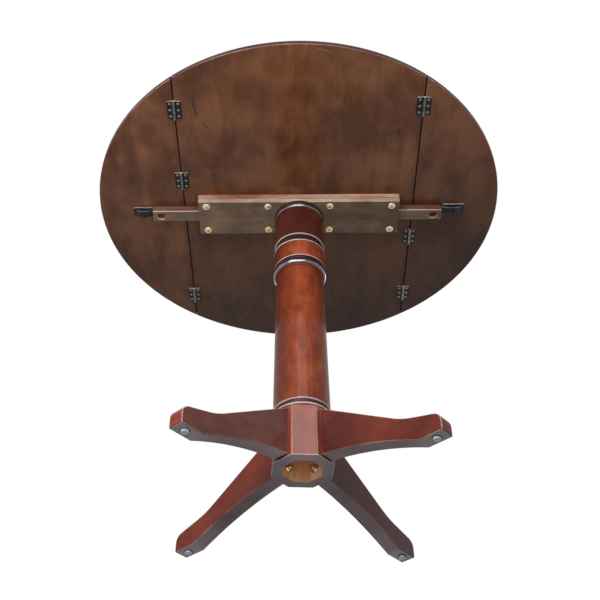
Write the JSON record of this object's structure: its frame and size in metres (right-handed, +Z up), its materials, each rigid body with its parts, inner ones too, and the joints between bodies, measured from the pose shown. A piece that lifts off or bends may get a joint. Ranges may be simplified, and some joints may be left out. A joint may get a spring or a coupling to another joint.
{
  "type": "drop-leaf pedestal table",
  "caption": "Round drop-leaf pedestal table with hinged leaves held up by pull-out supports, on a turned column with an octagonal hub and low curved legs.",
  "frame": {"origin": "on the floor under the centre of the round top", "axes": "+Z up; X from leaf to leaf, with left at -X; Y along the hinge seams, with near at -Y"},
  "size_m": [0.914, 0.914, 0.762],
  "materials": {
    "stained_top": "satin",
    "stained_board": "satin",
    "mahogany_lacquer": "gloss",
    "raw_wood": "matte",
    "bronzed_steel": "satin",
    "yellow_zinc": "satin",
    "bright_steel": "satin",
    "black_plastic": "matte",
    "grey_glide": "satin"
  },
  "bodies": {
    "table": {"centre_panel": "stained_top", "column": "mahogany_lacquer", "column_lag_bolt": "bright_steel", "column_top_plug": "raw_wood", "far_board_screw_1": "yellow_zinc", "far_board_screw_2": "yellow_zinc", "far_board_screw_3": "yellow_zinc", "far_board_screw_4": "yellow_zinc", "far_channel_rail": "stained_board", "far_left_glide": "grey_glide", "far_left_leg": "mahogany_lacquer", "far_left_leg_bolt": "bright_steel", "far_left_leg_dowel": "raw_wood", "far_left_leg_nut": "bright_steel", "far_right_glide": "grey_glide", "far_right_leg": "mahogany_lacquer", "far_right_leg_bolt": "bright_steel", "far_right_leg_dowel": "raw_wood", "far_right_leg_nut": "bright_steel", "left_far_hinge_panel_plate": "bronzed_steel", "left_far_hinge_pin": "bronzed_steel", "left_middle_hinge_panel_plate": "bronzed_steel", "left_middle_hinge_pin": "bronzed_steel", "left_near_hinge_panel_plate": "bronzed_steel", "left_near_hinge_pin": "bronzed_steel", "mounting_board": "stained_board", "near_board_screw_1": "yellow_zinc", "near_board_screw_2": "yellow_zinc", "near_board_screw_3": "yellow_zinc", "near_board_screw_4": "yellow_zinc", "near_channel_rail": "stained_board", "near_left_glide": "grey_glide", "near_left_leg": "mahogany_lacquer", "near_left_leg_bolt": "bright_steel", "near_left_leg_dowel": "raw_wood", "near_left_leg_nut": "bright_steel", "near_right_glide": "grey_glide", "near_right_leg": "mahogany_lacquer", "near_right_leg_bolt": "bright_steel", "near_right_leg_dowel": "raw_wood", "near_right_leg_nut": "bright_steel", "right_far_hinge_panel_plate": "bronzed_steel", "right_far_hinge_pin": "bronzed_steel", "right_middle_hinge_panel_plate": "bronzed_steel", "right_middle_hinge_pin": "bronzed_steel", "right_near_hinge_panel_plate": "bronzed_steel", "right_near_hinge_pin": "bronzed_steel"},
    "left_leaf_body": {"left_far_hinge_leaf_plate": "bronzed_steel", "left_leaf": "stained_top", "left_middle_hinge_leaf_plate": "bronzed_steel", "left_near_hinge_leaf_plate": "bronzed_steel", "left_slide_stop": "black_plastic"},
    "right_leaf_body": {"right_far_hinge_leaf_plate": "bronzed_steel", "right_leaf": "stained_top", "right_middle_hinge_leaf_plate": "bronzed_steel", "right_near_hinge_leaf_plate": "bronzed_steel", "right_slide_stop": "black_plastic"},
    "left_slide_body": {"left_slide": "stained_board"},
    "right_slide_body": {"right_slide": "stained_board"}
  },
  "joints": [
    {"name": "left_slide_travel", "type": "slide", "parent": "table", "child": "left_slide_body", "axis": [1, 0, 0], "range_m": [0, 0.0735]},
    {"name": "right_slide_travel", "type": "slide", "parent": "table", "child": "right_slide_body", "axis": [-1, 0, 0], "range_m": [0, 0.066]},
    {"name": "left_leaf_hinge", "type": "hinge", "parent": "table", "child": "left_leaf_body", "pos_m": [-0.2625, 0, 0.73945], "axis": [0, 1, 0], "range_deg": [0, 4.5]},
    {"name": "right_leaf_hinge", "type": "hinge", "parent": "table", "child": "right_leaf_body", "pos_m": [0.2625, 0, 0.73945], "axis": [0, -1, 0], "range_deg": [0, 4.5]}
  ]
}
